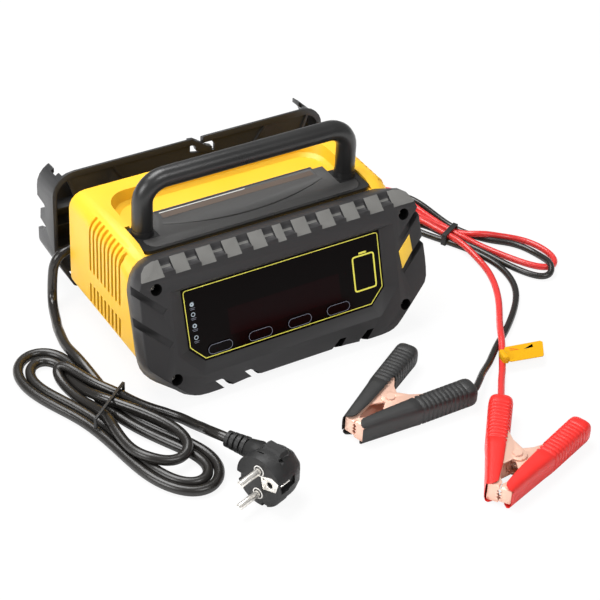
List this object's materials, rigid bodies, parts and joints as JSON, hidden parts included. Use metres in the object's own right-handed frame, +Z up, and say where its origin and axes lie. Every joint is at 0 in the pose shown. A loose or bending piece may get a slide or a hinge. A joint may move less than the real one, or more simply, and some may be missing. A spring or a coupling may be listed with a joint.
{
  "type": "battery charger",
  "caption": "Portable car battery charger with sloped display front, carry handle, rear cord cradle, wound mains lead with plug and two output leads with spring clamps.",
  "frame": {"origin": "on the surface the charger stands on, under the middle of its body", "axes": "+X to the right seen from the front, along the width; -Y towards the user, the display side; +Z up"},
  "size_m": [0.432, 0.3741, 0.1422],
  "materials": {
    "yellow_plastic": "satin",
    "black_plastic": "fine texture",
    "display_gloss": "gloss",
    "rubber": "matte",
    "capacitor_sleeve": "gloss",
    "cord_black": "satin",
    "cord_red": "satin",
    "grip_red": "satin",
    "grip_black": "satin",
    "copper_plate": "copper plated",
    "steel": "plated",
    "circuit_board": "lacquered",
    "transformer": "taped",
    "aluminium": "satin",
    "tag": "paper"
  },
  "bodies": {
    "charger": {"accent_insert": "yellow_plastic", "black_feed": "cord_black", "black_fixed_grip": "grip_black", "black_fixed_jaw": "copper_plate", "black_lead": "cord_black", "black_rivet": "copper_plate", "black_spring": "steel", "capacitor_1": "capacitor_sleeve", "capacitor_2": "capacitor_sleeve", "carry_handle": "black_plastic", "cord_cradle": "black_plastic", "cradle_screw_1": "steel", "cradle_screw_2": "steel", "cradle_screw_3": "steel", "cradle_screw_4": "steel", "display_board": "circuit_board", "display_panel": "display_gloss", "earth_plate": "steel", "fan_frame": "black_plastic", "foot_1": "rubber", "foot_2": "rubber", "foot_3": "rubber", "foot_4": "rubber", "front_bezel": "black_plastic", "front_screw_1": "steel", "front_screw_2": "steel", "front_screw_3": "steel", "front_screw_4": "steel", "hank_tie": "rubber", "heat_sink": "aluminium", "housing": "yellow_plastic", "lead_hank": "cord_red", "lead_tag": "tag", "lead_tie": "rubber", "main_board": "circuit_board", "mains_cord": "cord_black", "mains_gland": "rubber", "mains_hank": "cord_black", "output_gland": "rubber", "plug_body": "rubber", "plug_lead": "cord_black", "plug_pin_1": "steel", "plug_pin_2": "steel", "red_feed": "cord_red", "red_fixed_grip": "grip_red", "red_fixed_jaw": "copper_plate", "red_lead": "cord_red", "red_rivet": "copper_plate", "red_spring": "steel", "top_lid": "black_plastic", "transformer": "transformer"},
    "fan": {"fan_rotor": "black_plastic"},
    "key_a": {"key_1": "display_gloss"},
    "key_b": {"key_2": "display_gloss"},
    "key_c": {"key_3": "display_gloss"},
    "key_d": {"key_4": "display_gloss"},
    "black_lever": {"black_moving_jaw": "copper_plate", "black_moving_grip": "grip_black"},
    "red_lever": {"red_moving_jaw": "copper_plate", "red_moving_grip": "grip_red"}
  },
  "joints": [
    {"name": "key_1_press", "type": "slide", "parent": "charger", "child": "key_a", "axis": [0, 0.9532, -0.3024], "range_m": [0, 0.0005], "stiffness_N_per_m": 400, "springref_m": -0.0002},
    {"name": "key_2_press", "type": "slide", "parent": "charger", "child": "key_b", "axis": [0, 0.9532, -0.3024], "range_m": [0, 0.0005], "stiffness_N_per_m": 400, "springref_m": -0.0002},
    {"name": "key_3_press", "type": "slide", "parent": "charger", "child": "key_c", "axis": [0, 0.9532, -0.3024], "range_m": [0, 0.0005], "stiffness_N_per_m": 400, "springref_m": -0.0002},
    {"name": "key_4_press", "type": "slide", "parent": "charger", "child": "key_d", "axis": [0, 0.9532, -0.3024], "range_m": [0, 0.0005], "stiffness_N_per_m": 400, "springref_m": -0.0002},
    {"name": "fan_spin", "type": "hinge", "parent": "charger", "child": "fan", "pos_m": [0.03, 0.04097, 0.044], "axis": [0, 1, 0], "continuous": true},
    {"name": "black_clamp_hinge", "type": "hinge", "parent": "charger", "child": "black_lever", "pos_m": [0.0308, -0.16383, 0.0089], "axis": [0, 0, -1], "range_deg": [0, 32], "stiffness_Nm_per_rad": 0.8, "springref_deg": -22.92},
    {"name": "red_clamp_hinge", "type": "hinge", "parent": "charger", "child": "red_lever", "pos_m": [0.0741, -0.25133, 0.0089], "axis": [0, 0, 1], "range_deg": [0, 32], "stiffness_Nm_per_rad": 0.8, "springref_deg": -22.92}
  ]
}
